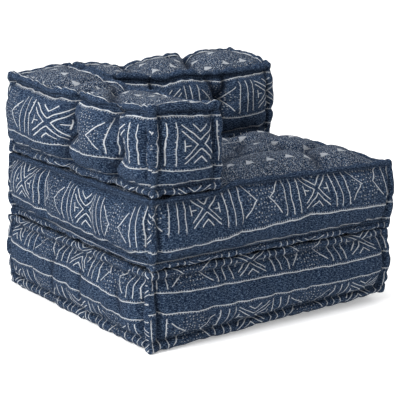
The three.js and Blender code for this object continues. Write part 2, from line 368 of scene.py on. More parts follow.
def gather_face(pad, move, edge, gathers, face, across, face_side, roll_side):
    """Moves one face's part of a roll, bites in the stitch row behind it and puckers the panel beside it"""
    run = pad.unfolded[:, edge[0]]
    turn = pad.turn[:, across]
    on = pad.on_face(face, face_side) & (pad.side[:, across] == roll_side)
    angle = ROLL_START + turn * (ROLL_END - ROLL_START)
    weight = np.where(on, 1 - turn**3, 0) * pad.radius * fatness(pad, edge, gathers)
    share = np.where(pad.end[:, face] & pad.end[:, across], 0.5, 1.0)
    move[:, across] += roll_side * np.cos(angle) * weight * share
    move[:, face] += face_side * np.sin(angle) * weight * share
    inside = pad.panel(face, face_side)
    depth = pad.inner[:, across] - roll_side * pad.flat[:, across]
    behind = np.where(on, (1 - turn) * pad.arc, 1.0)
    bite = np.where(inside, peak(depth, BITE_INSIDE), peak(behind, BITE_BEHIND) * on)
    corner_fade = ease(pad.half[edge[0]] - np.abs(pad.flat[:, edge[0]]), CORNER_START, CORNER_REACH)
    bite = bite * corner_fade * BITE_SHARE * pad.radius * (1 + 0.25 * gathers.ripple(run))
    move[:, face] -= face_side * np.where(on & (turn == 1) & inside, 0.5, 1.0) * bite
    near = np.where(inside, np.exp(-depth / PUCKER_REACH) * (1 - np.exp(-depth / PUCKER_START)), 0)
    wide = np.where(inside, np.exp(-depth / PUCKER_WIDE), 0)
    pucker = PUCKER_HEIGHT * gathers.ripple(run) * near
    pucker = pucker - PUCKER_GATHER * gathers.pinch(run, PUCKER_SPREAD) * wide
    move[:, face] += face_side * pucker


def add_gathers(pad, at):
    """Draws in the rolls at the thread marks and puckers the panels beside them"""
    move = np.zeros_like(at)
    for along in range(3):
        a, b = others(along)
        for side_a, side_b in ((-1, -1), (-1, 1), (1, -1), (1, 1)):
            edge = (along, side_a, side_b)
            gathers = gathers_of(pad, edge)
            gather_face(pad, move, edge, gathers, a, b, side_a, side_b)
            gather_face(pad, move, edge, gathers, b, a, side_b, side_a)
    return at + move


def along_path(points, path):
    """Distance of flat points from a line of straight stretches, and the share of its length there"""
    best = np.full(len(points), 1e9)
    share = np.zeros(len(points))
    path = np.array(path)
    lengths = np.linalg.norm(np.diff(path, axis=0), axis=1)
    before = 0.0
    for start, stop, length in zip(path[:-1], path[1:], lengths):
        way = (stop - start) / length
        t = np.clip((points - start) @ way, 0, length)
        far = np.linalg.norm(points - start - t[:, None] * way, axis=1)
        closer = far < best
        best = np.where(closer, far, best)
        share = np.where(closer, (before + t) / lengths.sum(), share)
        before += length
    return best, share


def from_deep_pits(spec, at):
    """Distances of all points from the lowest point of each deep tuft"""
    distances = []
    for pit in spec["tufts"]:
        if max(map(abs, pit["pull"])) > DEEP_PULL:
            lowest = np.linalg.norm(at - np.array(pit["at"]) - TO_MIDDLE, axis=1).argmin()
            distances.append(np.linalg.norm(at - at[lowest], axis=1))
    return distances


def add_creases(pad, at):
    """Folds where a thread draws the cloth in along a line, which then stays held, and painted shade on folds
    and pits
    """
    held = np.zeros(len(at), dtype=bool)
    # Painted shade for the cloth's colour: darkest at the deep pits and along each fold, fading away from
    # them
    pad.shade = np.zeros(len(at))
    for far in from_deep_pits(pad.spec, at):
        pad.shade = np.maximum(pad.shade, peak(far, PIT_SHADE))
    for fold in pad.spec["creases"]:
        axis, side = fold["face"]
        full, width = fold["depth"], fold["width"]
        on = pad.on_face(axis, side)
        far, share = along_path((pad.flat + np.array(pad.spec["centre"]))[:, others(axis)], fold["path"])
        depth = full * np.interp(share, [0, 0.25, 0.75, 1], fold["ends"])
        dent = depth * np.exp(-((far / width) ** FOLD_SHARPNESS))
        at[on, axis] -= side * dent[on]
        shadow = np.maximum(peak(far, FOLD_SHADE), FOLD_SIDES * peak(far, FOLD_SIDES_REACH * width))
        pad.shade = np.maximum(pad.shade, on * np.minimum(1, SHADE_GAIN * dent / full) * shadow)
        held |= on & (far < HELD_WIDTH * width) & (dent > HELD_DEPTH * full)
    return at, held


def smooth_noise(at, size, seed):
    """Soft bumps of one size, from a few crossed waves"""
    rng = np.random.default_rng(seed)
    total = np.zeros(len(at))
    for _ in range(9):
        way = rng.normal(size=3)
        way /= np.linalg.norm(way)
        total += np.sin(at @ way * (2 * np.pi / (size * rng.uniform(0.75, 1.4))) + rng.uniform(0, 6.28))
    return total / 3


# The print laid on the cloth


class Laying:
    """The faces of a cover, and the maps that lay the cloth on them at each of their corners"""

    def __init__(self, pad):
        corner = np.empty(len(pad.mesh.loops), dtype=np.int32)
        pad.mesh.loops.foreach_get("vertex_index", corner)
        faces = corner.reshape(-1, 4)
        self.spec = pad.spec
        self.unfolded, self.flat, self.turn = pad.unfolded[faces], pad.flat[faces], pad.turn[faces]
        self.inner, self.arc = pad.inner[faces], pad.arc[faces]
        middle = pad.cube[faces].mean(1)
        self.axis = np.abs(middle).argmax(1)
        self.side = np.sign(middle).astype(int)
        self.mean_turn = self.turn.mean(1)
        self.cloth, self.yarn, self.seams = (np.zeros((len(faces), 4, 2)) for _ in range(3))
        self.kind = np.zeros(len(faces), dtype=np.int32)

    def lay_strip(self, part, axis, side, over=None):
        """Border cloth on one side, carried over the top and bottom rolls where over is 1 or -1"""
        if not part.any():
            return
        spec = self.spec
        row = spec["print"][(axis, side)]
        run_axis = 1 - axis
        direction = side if axis == 0 else -side
        run = self.unfolded[part][:, :, run_axis] + spec["centre"][run_axis]
        across = direction * (run - row["middle"]) * row["stretch"]
        across = across + np.interp(run, *zip(*row["shifts"]))
        z = self.unfolded[part][:, :, 2] + spec["centre"][2]
        if over is not None:
            past = self.inner[part][:, :, 2] + self.arc[part] * (1 + self.turn[part][:, :, axis])
            z = over * past + spec["centre"][2]
        in_roll = (self.turn[part][:, :, 2].mean(1) < 1)[:, None] | (over is not None)
        for path, hidden in row["folds"]:
            places, heights = zip(*path)
            past = (run - np.interp(z, heights, places)) / FOLD_SOFTNESS
            across = across + direction * hidden / 2 * np.tanh(past)
        up = up_the_print(row, run, z)
        z = z + np.where(in_roll, SEAM_SPLIT, -SEAM_SPLIT) * np.sign(z - spec["centre"][2])
        up = np.where(z > row["plain_above"], PLAIN_START + PLAIN_RATE * (z - row["plain_above"]), up)
        self.cloth[part, :, 0] = across
        self.cloth[part, :, 1] = up
        self.yarn[part, :, 0] = run
        self.yarn[part, :, 1] = z

    def lay_flat_face(self, chosen, f_side):
        """A top or bottom: border cloth over part of its rolls, and the top cloth between"""
        ends = {o: np.where(self.side[:, o] < 0, *BORDER_ENDS) if f_side > 0 else 1 for o in (0, 1)}
        low_a, low_b = (chosen & (self.mean_turn[:, o] < ends[o]) for o in (0, 1))
        by_a = low_a & (~low_b | (self.mean_turn[:, 0] <= self.mean_turn[:, 1]))
        by_b = low_b & ~by_a
        for roll, o in ((by_a, 0), (by_b, 1)):
            for o_side in (-1, 1):
                self.lay_strip(roll & (self.side[:, o] == o_side), o, o_side, f_side)
        top = chosen & ~low_a & ~low_b
        world = self.flat + np.array(self.spec["centre"])
        u_axis = self.spec["top_along"]
        for number, axis in enumerate((u_axis, 1 - u_axis)):
            self.cloth[top, :, number] = world[top][:, :, axis] + self.spec["top_shift"][number]
        self.yarn[top] = self.cloth[top]
        self.kind[top & (f_side > 0)] = 1

    def lay_stitches(self, chosen, f_axis):
        """Distance from the nearest stitch row of a face, less than 0 on the roll, and the run along it"""
        a, b = others(f_axis)
        off = []
        for o in (a, b):
            in_roll = (chosen & (self.mean_turn[:, o] < 1))[:, None]
            on_panel = self.inner[:, :, o] - np.abs(self.flat[:, :, o])
            off.append(np.where(in_roll, -(1 - self.turn[:, :, o]) * self.arc, on_panel))
        near_a = (np.abs(off[0]).mean(1) < np.abs(off[1]).mean(1))[:, None]
        self.seams[chosen, :, 0] = np.where(near_a, *off)[chosen]
        self.seams[chosen, :, 1] = np.where(near_a, self.unfolded[:, :, b], self.unfolded[:, :, a])[chosen]


def up_the_print(row, run, z):
    """How far up the print each point of a side is, from its lines' heights at places along it"""
    place = np.interp(run, row["runs"], np.arange(len(row["runs"])))
    up = np.zeros_like(z)
    for number, heights in enumerate(row["heights"]):
        level = np.interp(z, heights, row["lines"])
        level = level + np.minimum(z - heights[0], 0) + np.maximum(z - heights[-1], 0)
        up += level * np.clip(1 - np.abs(place - number), 0, 1)
    return up


def lay_cloth(pad):
    """Gives the cover its maps: the print across and up, the yarn in metres of cloth, and the stitch rows"""
    laying, mesh = Laying(pad), pad.mesh
    own_side = laying.side[np.arange(len(laying.axis)), laying.axis]
    for f_axis in range(3):
        for f_side in (-1, 1):
            chosen = (laying.axis == f_axis) & (own_side == f_side)
            if f_axis < 2:
                laying.lay_strip(chosen, f_axis, f_side)
            else:
                laying.lay_flat_face(chosen, f_side)
            laying.lay_stitches(chosen, f_axis)
    for name in ("cloth", "yarn", "seams"):
        mesh.uv_layers.new(name=name).data.foreach_set("uv", getattr(laying, name).reshape(-1))
    # Stores the painted shade of folds and pits, which the cloths darken their colour by
    mesh.attributes.new("fold", "FLOAT", "POINT").data.foreach_set("value", pad.shade)
    mesh.polygons.foreach_set("material_index", laying.kind)
    mesh.polygons.foreach_set("use_smooth", np.ones(len(laying.kind), dtype=bool))


# Materials


class Value:
    """One varying number or vector of a material, so that shader sums read as sums"""

    def __init__(self, cloth, socket):
        self.cloth, self.socket = cloth, socket

    def sum(self, operation, *more):
        return self.cloth.node("ShaderNodeMath", {"operation": operation}, dict(enumerate((self, *more))))

    def __add__(self, other):
        return self.sum("ADD", other)

    def __sub__(self, other):
        return self.sum("SUBTRACT", other)

    def __mul__(self, other):
        return self.sum("MULTIPLY", other)

    def __radd__(self, other):
        return self.sum("ADD", other)

    def __rmul__(self, other):
        return self.sum("MULTIPLY", other)

    def __rsub__(self, other):
        return self.cloth.node("ShaderNodeMath", {"operation": "SUBTRACT"}, {0: other, 1: self})

    def __abs__(self):
        return self.sum("ABSOLUTE")

    def at_most(self, other):
        return self.sum("MINIMUM", other)

    def at_least(self, other):
        return self.sum("MAXIMUM", other)

    def wrap(self, low, high):
        return self.sum("WRAP", high, low)

    def sine(self):
        return self.sum("SINE")

    def below(self, limit, soft):
        """1 where this is under the limit, falling to 0 over a soft edge"""
        limits = {"From Min": limit + soft / 2, "From Max": limit - soft / 2, "To Min": 0.0, "To Max": 1.0}
        settings = {"interpolation_type": "LINEAR", "clamp": True}
        return self.cloth.node("ShaderNodeMapRange", settings, {"Value": self, **limits})

    def above(self, limit, soft):
        return self.below(limit, -soft)


class Cloth:
    """A cloth material being drawn up"""

    def __init__(self, name):
        self.material = bpy.data.materials.new(name)
        self.material.use_nodes = True
        self.tree = self.material.node_tree
        self.shader = next(n for n in self.tree.nodes if n.type == "BSDF_PRINCIPLED")

    def node(self, kind, settings=None, inputs=None, output=0):
        made = self.tree.nodes.new(kind)
        for key, setting in (settings or {}).items():
            setattr(made, key, setting)
        for key, value in (inputs or {}).items():
            if isinstance(value, Value):
                self.tree.links.new(value.socket, made.inputs[key])
            else:
                made.inputs[key].default_value = value
        return Value(self, made.outputs[output])

    def map(self, name):
        return self.node("ShaderNodeUVMap", {"uv_map": name})

    def parts(self, vector):
        """The first two numbers of a vector"""
        across = self.node("ShaderNodeSeparateXYZ", {}, {0: vector})
        return across, Value(self, across.socket.node.outputs[1])

    def pair(self, across, up):
        return self.node("ShaderNodeCombineXYZ", {}, {0: across, 1: up, 2: 0.0})

    def noise(self, where, scale, detail=2.0, output=0):
        sockets = {"Vector": where, "Scale": scale, "Detail": detail, "Roughness": 0.5}
        return self.node("ShaderNodeTexNoise", {"noise_dimensions": "2D"}, sockets, output)

    def spots(self, where, scale, uneven):
        """Distance from the nearest of many scattered points"""
        sockets = {"Vector": where, "Scale": scale, "Randomness": uneven}
        return self.node("ShaderNodeTexVoronoi", {"voronoi_dimensions": "2D"}, sockets)

    def vector(self, operation, *values, output=0, scale=None):
        inputs = dict(enumerate(values))
        if scale is not None:
            inputs["Scale"] = scale
        return self.node("ShaderNodeVectorMath", {"operation": operation}, inputs, output)

    def stretch(self, vector, by):
        return self.vector("MULTIPLY", vector, by)

    def sway(self, where, scale, detail, far):
        """Small moves to every side that wander over the cloth"""
        centred = self.vector("SUBTRACT", self.noise(where, scale, detail, output=1), (0.5, 0.5, 0.5))
        return self.vector("SCALE", centred, scale=far)

    def blend(self, share, first, second):
        return self.node("ShaderNodeMix", {"data_type": "RGBA"}, {0: share, 6: first, 7: second}, output=2)

    def stroke(self, where, start, stop):
        """Distance of each point from a straight stroke"""
        length = math.dist(start, stop)
        way = ((stop[0] - start[0]) / length, (stop[1] - start[1]) / length, 0.0)
        rel = self.vector("SUBTRACT", where, (start[0], start[1], 0.0))
        along = self.vector("DOT_PRODUCT", rel, way, output=1)
        kept = self.node("ShaderNodeClamp", {}, {"Value": along, "Min": 0.0, "Max": length})
        off = self.vector("SUBTRACT", rel, self.vector("SCALE", way, scale=kept))
        return self.vector("LENGTH", off, output=1)

    def finish(self, colour, rough, normal):
        for name, value in (("Base Color", colour), ("Roughness", rough), ("Normal", normal)):
            self.tree.links.new(value.socket, self.shader.inputs[name])
        return self.material


# Strokes of the right half of the cross motif and of the arrow beside it: start and stop across and up
MOTIF_STROKES = [
    ((0.000, 0.011), (0.048, 0.046)),
    ((0.000, 0.030), (0.019, 0.047)),
    ((0.000, -0.011), (0.043, -0.047)),
    ((0.000, -0.031), (0.018, -0.047)),
    ((0.009, 0.000), (0.049, 0.032)),
    ((0.009, 0.000), (0.044, -0.033)),
    ((0.045, -0.012), (0.045, 0.012)),
    ((0.030, 0.000), (0.045, 0.000)),
    ((0.166, -0.002), (0.124, 0.036)),
    ((0.166, -0.002), (0.130, -0.044)),
]
WAVY_LINES = [(0.064, True), (0.087, False), (0.112, True)]  # place beside a cross, and whether ticked
PEN = (0.0013, 0.0011)  # half the width of a drawn line, and its soft edge
FINE_PEN = (0.0012, 0.0011)
TICK_STEP, COMB_STEP = 0.0150, 0.0072
DOTS_PER_METRE, SPECKS_PER_METRE = 100.0, 185.0

DARK_INDIGO, MID_INDIGO = (0.0036, 0.0076, 0.0186, 1), (0.0178, 0.0336, 0.0668, 1)
PALE_THREAD, PRINT_WHITE = (0.084, 0.120, 0.174, 1), (0.345, 0.362, 0.384, 1)
# The dark of the painted shade in folds, pits and stitch grooves, and the stitch thread
PAINTED_SHADE_COLOUR, STITCH_THREAD = (0.005, 0.008, 0.016, 1), (0.06, 0.09, 0.14, 1)

YARN_PITCH = 0.0033
STITCH_STEP, STITCH_HALF, THREAD_HALF, GROOVE_HALF = 0.0090, 0.0030, 0.0011, 0.0040
BUMP_STRENGTH, BUMP_HEIGHT = 0.75, 0.0012

# The top cloth's repeat up and across, its rows of triangles and its line within it, and a triangle's slope
TOP_REPEAT_UP, TOP_REPEAT_ACROSS = 0.2275, 0.0656
TRIANGLE_ROWS, TRIANGLE_SLOPE, THIN_LINE = (0.0, -0.0735), 1.45, 0.081


def weave(cloth, where):
    """Height and shade of a slubby plain weave"""
    across, up = cloth.parts(where)
    cells = (across * (math.pi / YARN_PITCH)).sine() * (up * (math.pi / YARN_PITCH)).sine()
    slub_up = cloth.noise(cloth.stretch(where, (430.0, 130.0, 1.0)), 1.0, 1.0)
    slub_across = cloth.noise(cloth.stretch(where, (120.0, 500.0, 1.0)), 1.0, 1.0)
    grain = cloth.noise(where, 480.0, 1.0)
    shade = (slub_up - 0.5) * 0.5 + (slub_across - 0.5) * 1.25 + (grain - 0.5) * 1.15 + cells * 0.07 + 0.5
    return cells * 0.5 + 0.5, shade.at_least(0.0).at_most(1.0)


def stitches(cloth):
    """Thread along the stitch rows beside each roll, and the shade in the groove"""
    off, run = cloth.parts(cloth.map("seams"))
    dash = abs(run.wrap(-STITCH_STEP / 2, STITCH_STEP / 2)).below(STITCH_HALF, 0.0012)
    thread = abs(off).below(THREAD_HALF, 0.0008) * dash
    # The second mask is painted shade along the stitch groove
    return thread, abs(off).below(GROOVE_HALF, 0.007)


def ground(cloth, where, shade, lift):
    """Indigo yarn that runs from dark to mid blue, with pale flecks, worn paler where lift is high"""
    slow = cloth.noise(where, 9.0, 3.0)
    body = (shade * 2.3 - 0.72 + (slow - 0.5) * 0.5 + lift).at_least(0.0).at_most(1.0)
    blue = cloth.blend(body, DARK_INDIGO, MID_INDIGO)
    return cloth.blend(shade.above(0.70, 0.14) * 0.75, blue, PALE_THREAD)


def dress(cloth, flat, drawn, lift):
    """Ground, print, stitches and relief of one cloth, and its finish"""
    height, shade = weave(cloth, flat)
    patchy = cloth.noise(flat, 320.0, 2.0).above(0.34, 0.30)
    drawn = drawn * (patchy * 0.35 + 0.65)
    thread, groove = stitches(cloth)
    # fold reads the painted shade of folds and pits stored on the cover
    fold = cloth.node("ShaderNodeAttribute", {"attribute_name": "fold"}, {}, 2)
    colour = cloth.blend(drawn, ground(cloth, flat, shade, lift), PRINT_WHITE)
    # Painted shade: darker towards deep blue in the stitch grooves and along folds and pits
    colour = cloth.blend((groove * 0.55).at_least(fold * 0.72), colour, PAINTED_SHADE_COLOUR)
    colour = cloth.blend(thread * 0.5, colour, STITCH_THREAD)
    relief = height * 0.35 + shade * 1.3 + drawn * 0.35 + thread * 1.4
    bump = {"Strength": BUMP_STRENGTH, "Distance": BUMP_HEIGHT, "Height": relief}
    cloth.shader.inputs["Specular IOR Level"].default_value = 0.05
    return cloth.finish(colour, 0.96 - drawn * 0.08, cloth.node("ShaderNodeBump", {}, bump))


def wavy_lines(x, y, half):
    """Three wavy lines on each side of a cross, the outer two with small ticks"""
    wave = (y * 80 + x * 9).sine() * 0.0013 + y * 0.050
    lines = []
    for place, ticked in WAVY_LINES:
        off = half + wave - place
        line = abs(off).below(*FINE_PEN)
        if ticked:
            tick = abs((y + place).wrap(-TICK_STEP / 2, TICK_STEP / 2)).below(0.0010, 0.001)
            line = line.at_least(tick * abs(off - 0.0022).below(0.0020, 0.001) * 0.8)
        lines.append(line)
    return reduce(Value.at_least, lines) * abs(y + 0.001).below(0.053, 0.003)


def ticked_edges(across, y):
    """Long lines above and below each row, with ticks into the row"""
    edge = ROW_HALF - 0.0015
    comb = abs(across.wrap(-COMB_STEP / 2, COMB_STEP / 2)).below(0.0010, 0.0010)
    comb = comb * abs(abs(y) - (edge - 0.0026)).below(0.0024, 0.0012)
    return abs(abs(y) - edge).below(*PEN).at_least(comb * 0.65)


def dots(cloth, flat, yarn, half, y):
    """Faint dots in the fields between the arrows"""
    dot = cloth.spots(yarn, DOTS_PER_METRE, 0.50)
    field = (half * 1.25 - abs(y)).above(0.150, 0.014)
    faded = cloth.noise(flat, 70.0, 1.0).above(0.38, 0.20)
    return dot.below(0.16, 0.12) * field * abs(y).below(0.058, 0.003) * faded


def printed_cloth():
    """Border cloth: rows of crosses and arrows, with wavy lines, dots and ticked edges"""
    cloth = Cloth("printed_border_cloth")
    flat, yarn = cloth.map("cloth"), cloth.map("yarn")
    where = cloth.vector("ADD", flat, cloth.sway(flat, 22.0, 2.0, 0.0060))
    where = cloth.vector("ADD", where, cloth.sway(flat, 140.0, 1.0, 0.0016))
    across, up = cloth.parts(where)
    x = across.wrap(-REPEAT_ACROSS / 2, REPEAT_ACROSS / 2)
    y = up.wrap(-ROW_HALF - BAND, ROW_HALF)
    half = abs(x)
    here = cloth.pair(half, y)
    motif = reduce(Value.at_most, [cloth.stroke(here, *ends) for ends in MOTIF_STROKES]).below(*PEN)
    drawn = motif.at_least(wavy_lines(x, y, half)).at_least(ticked_edges(across, y))
    drawn = drawn.at_least(dots(cloth, flat, yarn, half, y) * 0.72)
    return dress(cloth, yarn, drawn, 0.0)


def speckled_cloth():
    """Top cloth: dense pale specks, rows of small triangles and thin lines"""
    cloth = Cloth("speckled_top_cloth")
    flat = cloth.map("cloth")
    across, up = cloth.parts(cloth.vector("ADD", flat, cloth.sway(flat, 12.0, 2.0, 0.016)))
    y = (up + 0.2275 + 0.0765).wrap(-TOP_REPEAT_UP / 2, TOP_REPEAT_UP / 2)
    x = (across + 0.038).wrap(-TOP_REPEAT_ACROSS / 2, TOP_REPEAT_ACROSS / 2)
    rows = []
    for row in TRIANGLE_ROWS:
        over_base = (y - row).above(-0.010, 0.002)
        rows.append(over_base * (abs(x) * TRIANGLE_SLOPE + (y - row)).below(0.0105, 0.002))
    triangle = reduce(Value.at_least, rows)
    line = abs(y - THIN_LINE).below(0.0014, 0.0012)
    missing = cloth.noise(flat, 95.0, 1.0)
    specks = (cloth.spots(flat, SPECKS_PER_METRE, 0.85) + (missing - 0.5) * 0.55).below(0.20, 0.16)
    drawn = (triangle * 0.72).at_least(line * 0.6).at_least(specks * 0.62)
    return dress(cloth, flat, drawn, -0.16)


# The four pads: tufts, creases and the print's places


def tuft(at, pull, reach):
    """A pull on the cloth around a point: a thread draws it in, or it is lifted"""
    return {"at": at, "pull": pull, "reach": reach}


def side_tufts(side, edge, pull, reach, *places):
    """Tufts of one kind on one side, each at its run along the side and its height"""
    axis, sign = side
    made = []
    for run, z in places:
        at, draw = [run, run, z], [0, 0, 0]
        at[axis], draw[axis] = edge, -sign * pull
        made.append(tuft(at, draw, reach))
    return made


def hidden_tufts(z):
    """Shallow tufts on the right and the rear of the base or the seat"""
    return [
        *side_tufts(RIGHT_SIDE, RIGHT + 0.014, 0.012, (0.060, 0.030, 0.060), (-0.130, z), (0.130, z)),
        *side_tufts(REAR_SIDE, REAR + 0.014, 0.012, (0.030, 0.060, 0.060), (-0.130, z), (0.130, z)),
    ]


def seam_corners(lift):
    """The front right and rear left corners at the seam between base and seat, raised or lowered"""
    corners = ((RIGHT, FRONT), (LEFT, REAR))
    return [tuft((x, y, SEAM_HEIGHT), (0, 0, lift), (0.050, 0.050, 0.030)) for x, y in corners]


def crease(face, path, depth, width, ends=(0.6, 1, 1, 0.6)):
    """A fold along a path on one face, and the shares of its depth at its start, quarters and end"""
    return {"face": face, "path": path, "depth": depth, "width": width, "ends": ends}


def side_print(middle, stretch, runs, rows, *places, plain_above=FAR, shifts=((0.0, 0.0),), folds=()):
    """Print on one side: the place of a cross, how far it is stretched, and its lines' heights at the runs"""
    lines, heights_of = rows
    return {
        "middle": middle, "stretch": stretch, "runs": runs, "lines": lines, "shifts": shifts,
        "heights": [heights_of(*place) for place in places], "plain_above": plain_above, "folds": folds,
    }


def stitch_height(top, radius):
    return top - roll_in(1, radius)


SEAT_STITCHES = stitch_height(SEAT_HEIGHT - GAP / 2, SEAT_ROLL)
TALL_STITCHES = stitch_height(TOP_HEIGHT, TOP_ROLL)
CREST = TALL_STITCHES + 1.2 * (ROLL_END - ROLL_START) * TOP_ROLL
FAR_CREST = TALL_STITCHES + 1.8 * (ROLL_END - ROLL_START) * TOP_ROLL


def tall(line_two, line_one, cross, upper, crest=CREST):
    return (SEAT_HEIGHT, line_two, line_one, cross, upper, crest, crest + 0.025)


def tall_plain(line_two, line_one, cross, upper):
    return (SEAT_HEIGHT, line_two, line_one, cross, upper, upper + 0.0175, upper + 0.075)


def seat_row(line_two, line_one, cross, above=0.047):
    top = (cross - 0.048, cross, cross + above, cross + above + 0.013, cross + 0.120)
    return (SEAM_HEIGHT, line_two, line_one, line_one + 0.0080, *top)


def low(under, line_two, line_one, cross):
    return (under - 0.014, under, line_two, line_one, cross, cross + 0.030)


# Places up the print, where 0 is the middle of a cross, and the heights on a pad at which they stand: on the
# arm's and back's sides, on the back's front, which has no line on its crest, on the seat and on the base
TALL = (-0.160, -0.1205, -0.0675, 0.0, 0.0675, 0.1206, 0.098), tall
TALL_PLAIN = (-0.160, -0.1205, -0.0675, 0.0, 0.0675, 0.085, 0.098), tall_plain
SEAT_ROW = (-0.160, -0.1205, -0.0675, -0.0595, -0.054, 0.0, 0.047, 0.060, 0.061), seat_row
LOW = (-0.205, -0.188, -0.1205, -0.0675, 0.0, 0.040), low

# Rows on the sides that the photograph doesn't show
HIDDEN_TALL = (0.443, 0.4835, 0.552, 0.620, FAR_CREST)
HIDDEN_SEAT, HIDDEN_LOW = (0.245, 0.285, 0.355), (0.036, 0.080, 0.132, 0.186)

# Where the valleys of the seat's top meet, and the deep pit on the arm's top
SEAT_PIT, SEAT_DIMPLE, SEAT_FORK = (0.232, -0.185), (0.099, -0.048), (0.178, -0.007)
ARM_PIT = (-0.262, -0.002)

# The two deep folds on the left of the arm, from the bottom up: place along and height
ARM_FOLDS = (
    [
        (0.060, 0.432), (0.044, 0.460), (0.030, 0.492), (-0.016, 0.537), (0.013, 0.567), (0.006, 0.600),
        (0.004, 0.640),
    ],
    [
        (-0.170, 0.432), (-0.190, 0.458), (-0.226, 0.494), (-0.248, 0.525), (-0.232, 0.570),
        (-0.206, 0.605), (-0.200, 0.640),
    ],
)


def seat_crown(axis, side, flat):
    """The seat's top rises from the arm and back, and less towards the right"""
    if axis != 2:
        return 0.012
    crown = 0.028 - 0.010 * ease(flat[:, 0], 0.240, 0.370)
    crown = crown * ease(flat[:, 0], ARM_INNER + 0.006, ARM_INNER + 0.090)
    return np.where(side < 0, 0.0, crown * ease(-flat[:, 1], -BACK_FRONT + 0.005, -BACK_FRONT + 0.090))


def seat_lift(shaped):
    """The free front of the seat's top stands higher, most towards the right"""
    lift = 0.008 * ease(shaped[:, 1], FRONT, FRONT + 0.150)
    lift = lift * ease(-shaped[:, 1], -BACK_FRONT + 0.005, -BACK_FRONT + 0.110)
    return lift * ease(shaped[:, 0], 0.060, 0.300)


def clear_of_back(at):
    """1 in front of the back pad, falling to 0 where the arm's inner side meets it"""
    return ease(-at[:, 1], -BACK_FRONT, -BACK_FRONT + 0.090)


def arm_crown(axis, side, flat):
    if axis == 0:
        return np.where(side < 0, 0.026, 0.008 * clear_of_back(flat))
    return 0.012 if axis == 1 else np.where(side > 0, 0.002, 0.0)


def arm_bow(axis, side, shaped):
    return 0.011 if axis == 1 else np.where(side > 0, 0.006 * clear_of_back(shaped), 0.008)


def back_crown(axis, side, flat):
    right, front, rear, top = 0.012, 0.016, 0.018, 0.002
    return np.where(side > 0, *((right, 0.0), (rear, front), (top, 0.0))[axis])


def seat_top(at):
    """Height that the seat's cover may reach: the pads on it, and more further out from them"""
    out = np.minimum(at[:, 0] - ARM_INNER - TO_MIDDLE[0], BACK_FRONT + TO_MIDDLE[1] - at[:, 1])
    return SEAT_HEIGHT - CLEAR + 0.5 * np.maximum(0, out)


def bulge(at):
    """How far a bolster's cover may stand out over the seat, more further up"""
    return 0.9 * np.maximum(0, at[:, 2] - 0.414)


def arm_side(at):
    """How far right the arm's cover may reach: up to the back pad's end, and further in front of it"""
    at_back = at[:, 1] > BACK_FRONT + TO_MIDDLE[1] - 0.005
    return ARM_INNER + TO_MIDDLE[0] - GAP + np.where(at_back, 0, bulge(at))


def beside_seat_top(at):
    """Cloth at the seat's rim that the arm and back press on"""
    under = (at[:, 0] < ARM_INNER + 0.045) | (at[:, 1] > BACK_FRONT - 0.045)
    return (at[:, 2] > SEAT_HEIGHT - 0.012) & under


def arm_at_back(at):
    """Cloth of the arm that the back pad's end covers"""
    return (at[:, 0] > ARM_INNER - 0.020) & (at[:, 1] > BACK_FRONT - 0.060)


# What most pads share: each pad's own values go over these
SIDES = [LEFT_SIDE, RIGHT_SIDE, FRONT_SIDE, REAR_SIDE]
SHARED = {
    "held": [], "settled": [], "marks": {}, "rims": {}, "pressed": {}, "top_along": 0, "top_shift": (0, 0),
    "free_faces": [*SIDES, TOP_SIDE], "lift": lambda shaped: 0.0,
}


BASE = SHARED | {
    "name": "base_pad", "slot": "base_cloth", "free_faces": SIDES,
    "seed": 11, "cell": 0.0106, "fill": 0.75, "top_swell": 1.0,
    "size": (WIDTH, DEPTH, SEAM_HEIGHT - GAP / 2),
    "centre": (BASE_SLIDE[0], BASE_SLIDE[1], (SEAM_HEIGHT - GAP / 2) / 2),
    "rolls": (FLOOR_ROLL, PRESSED_ROLL),
    "crown": lambda axis, side, flat: 0.0 if axis == 2 else 0.010,
    "bow": lambda axis, side, shaped: np.where((axis == 0) & (side > 0), 0.022, 0.012),
    "tufts": [
        *side_tufts(LEFT_SIDE, LEFT - 0.014, 0.010, (0.060, 0.026, 0.060), (0.020, 0.110)),
        *side_tufts(LEFT_SIDE, LEFT - 0.014, 0.006, (0.060, 0.026, 0.060), (-0.170, 0.110), (0.210, 0.110)),
        *hidden_tufts(0.110),
        tuft((RIGHT, FRONT, 0), (0, 0, 0.007), (0.070, 0.070, 0.040)),
        tuft((LEFT, REAR, 0), (0, 0, 0.005), (0.070, 0.070, 0.040)),
    ],
    "settled": [
        tuft((RIGHT + 0.050, FRONT, 0), (0, 0, 0.016), (0.420, 0.130, 0.055)),
        tuft((0.050, FRONT, 0), (0, 0, 0.007), (0.250, 0.130, 0.055)),
        *seam_corners(0.007),
    ],
    "creases": [
        crease(LEFT_SIDE, [(-0.066, 0.160), (-0.060, 0.060)], 0.006, 0.008),
        crease(LEFT_SIDE, [(0.085, 0.165), (0.092, 0.055)], 0.005, 0.009),
        crease(LEFT_SIDE, [(-0.245, 0.165), (-0.262, 0.100)], 0.005, 0.009),
    ],
    "walls": [(2, -1, CLEAR), (2, 1, SEAM_HEIGHT - CLEAR)],
    "print": {
        LEFT_SIDE: side_print(
            -0.047, 1.036, (-0.400, -0.280, 0.0, 0.200, 0.350), LOW,
            (0.040, 0.094, 0.143, 0.190), (0.038, 0.082, 0.127, 0.182), (0.040, 0.100, 0.148, 0.199),
            (0.038, 0.102, 0.142, 0.197), (0.040, 0.098, 0.153, 0.203),
        ),
        RIGHT_SIDE: side_print(-0.060, 1.02, (0.0,), LOW, HIDDEN_LOW),
        FRONT_SIDE: side_print(
            -0.091, 0.98, (-0.400, -0.270, -0.030, 0.210, 0.370), LOW,
            (0.050, 0.112, 0.167, 0.206), (0.049, 0.104, 0.159, 0.203), (0.049, 0.101, 0.155, 0.202),
            (0.050, 0.097, 0.148, 0.203), (0.052, 0.100, 0.151, 0.204),
        ),
        REAR_SIDE: side_print(0.060, 1.0, (0.0,), LOW, HIDDEN_LOW),
    },
}

